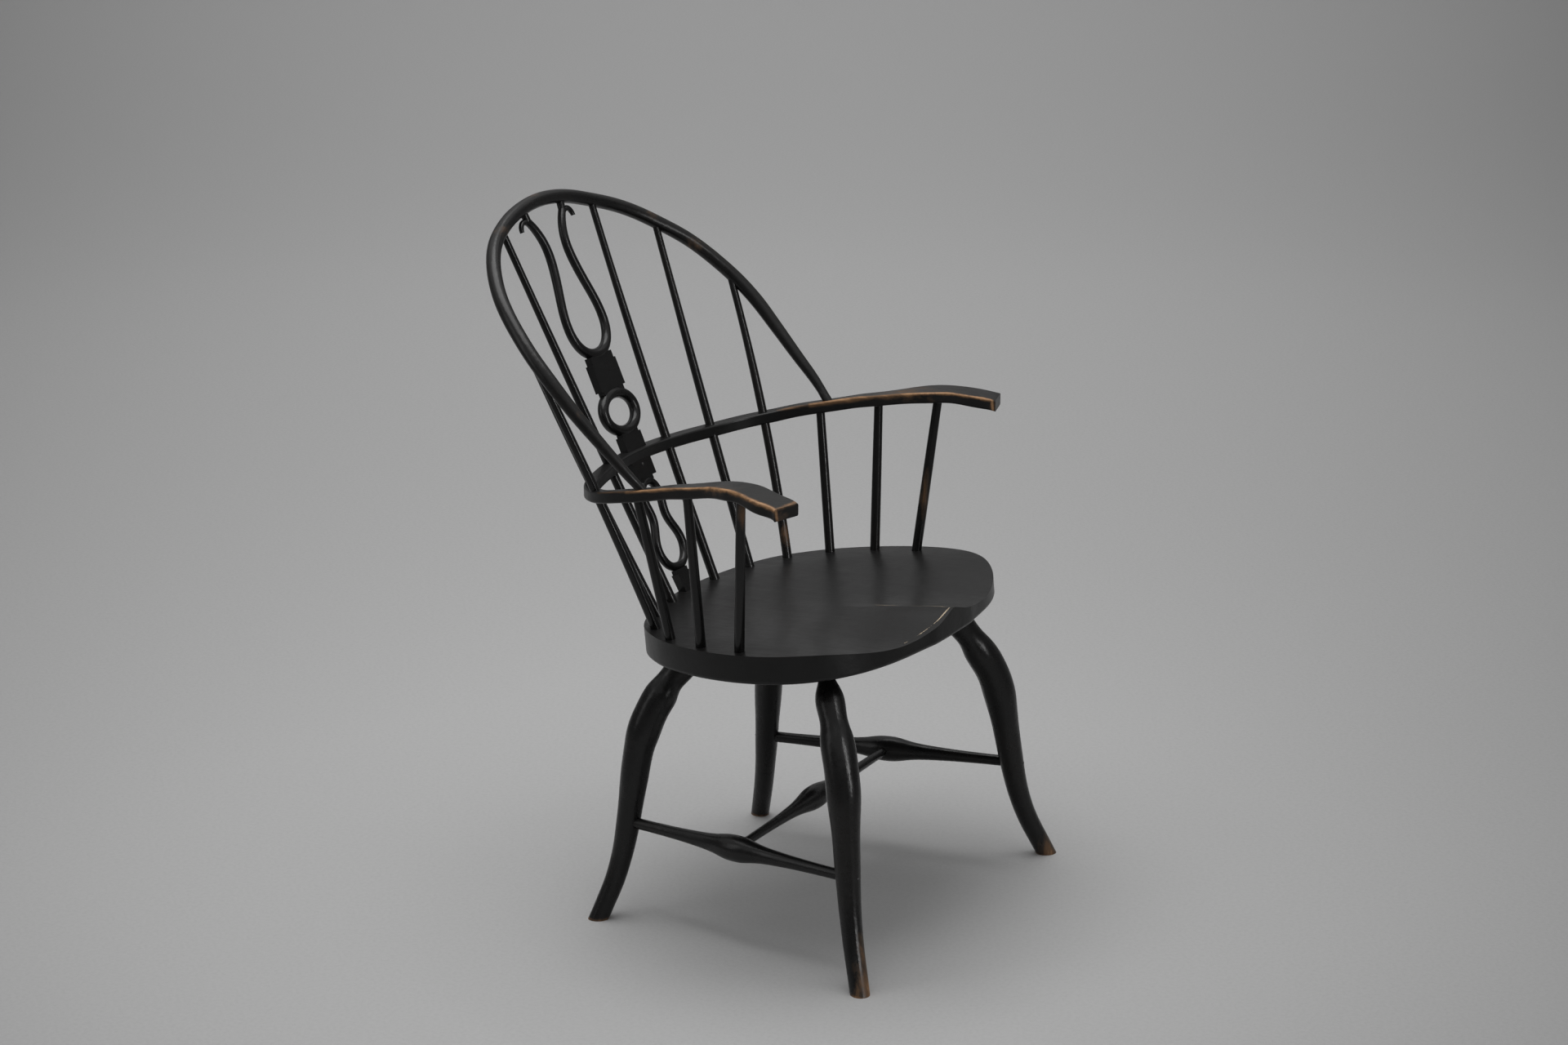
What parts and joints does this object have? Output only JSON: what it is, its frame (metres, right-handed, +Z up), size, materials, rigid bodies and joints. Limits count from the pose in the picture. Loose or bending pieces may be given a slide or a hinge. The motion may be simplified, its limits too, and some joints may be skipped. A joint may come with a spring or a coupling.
{
  "type": "windsor armchair",
  "caption": "Low-backed windsor armchair with bent sabre legs, a saddled seat, a steam-bent arm bow, a back hoop, round spindles and an openwork carved splat.",
  "frame": {"origin": "middle of the bounding box's footprint, on the floor under the chair", "axes": "+Z up, the seat faces -Y, the sitter's left arm is on +X"},
  "size_m": [0.685, 0.7016, 0.9812],
  "materials": {
    "painted_wood": "thin black paint over brown wood, satin, rubbed through on edges and feet",
    "painted_pin": "black paint, worn satin"
  },
  "bodies": {
    "root": {"arm_bow": "painted_wood", "back_hoop": "painted_wood", "cross_stretcher": "painted_wood", "leg_front_left": "painted_wood", "leg_front_right": "painted_wood", "leg_rear_left": "painted_wood", "leg_rear_right": "painted_wood", "long_spindle_left_1": "painted_wood", "long_spindle_left_2": "painted_wood", "long_spindle_left_3": "painted_wood", "long_spindle_right_1": "painted_wood", "long_spindle_right_2": "painted_wood", "long_spindle_right_3": "painted_wood", "seat": "painted_wood", "short_spindle_left_1": "painted_wood", "short_spindle_left_2": "painted_wood", "short_spindle_left_3": "painted_wood", "short_spindle_right_1": "painted_wood", "short_spindle_right_2": "painted_wood", "short_spindle_right_3": "painted_wood", "side_stretcher_left": "painted_wood", "side_stretcher_right": "painted_wood", "splat": "painted_wood", "splat_pin": "painted_pin", "stretcher_pins": "painted_pin"}
  },
  "joints": []
}
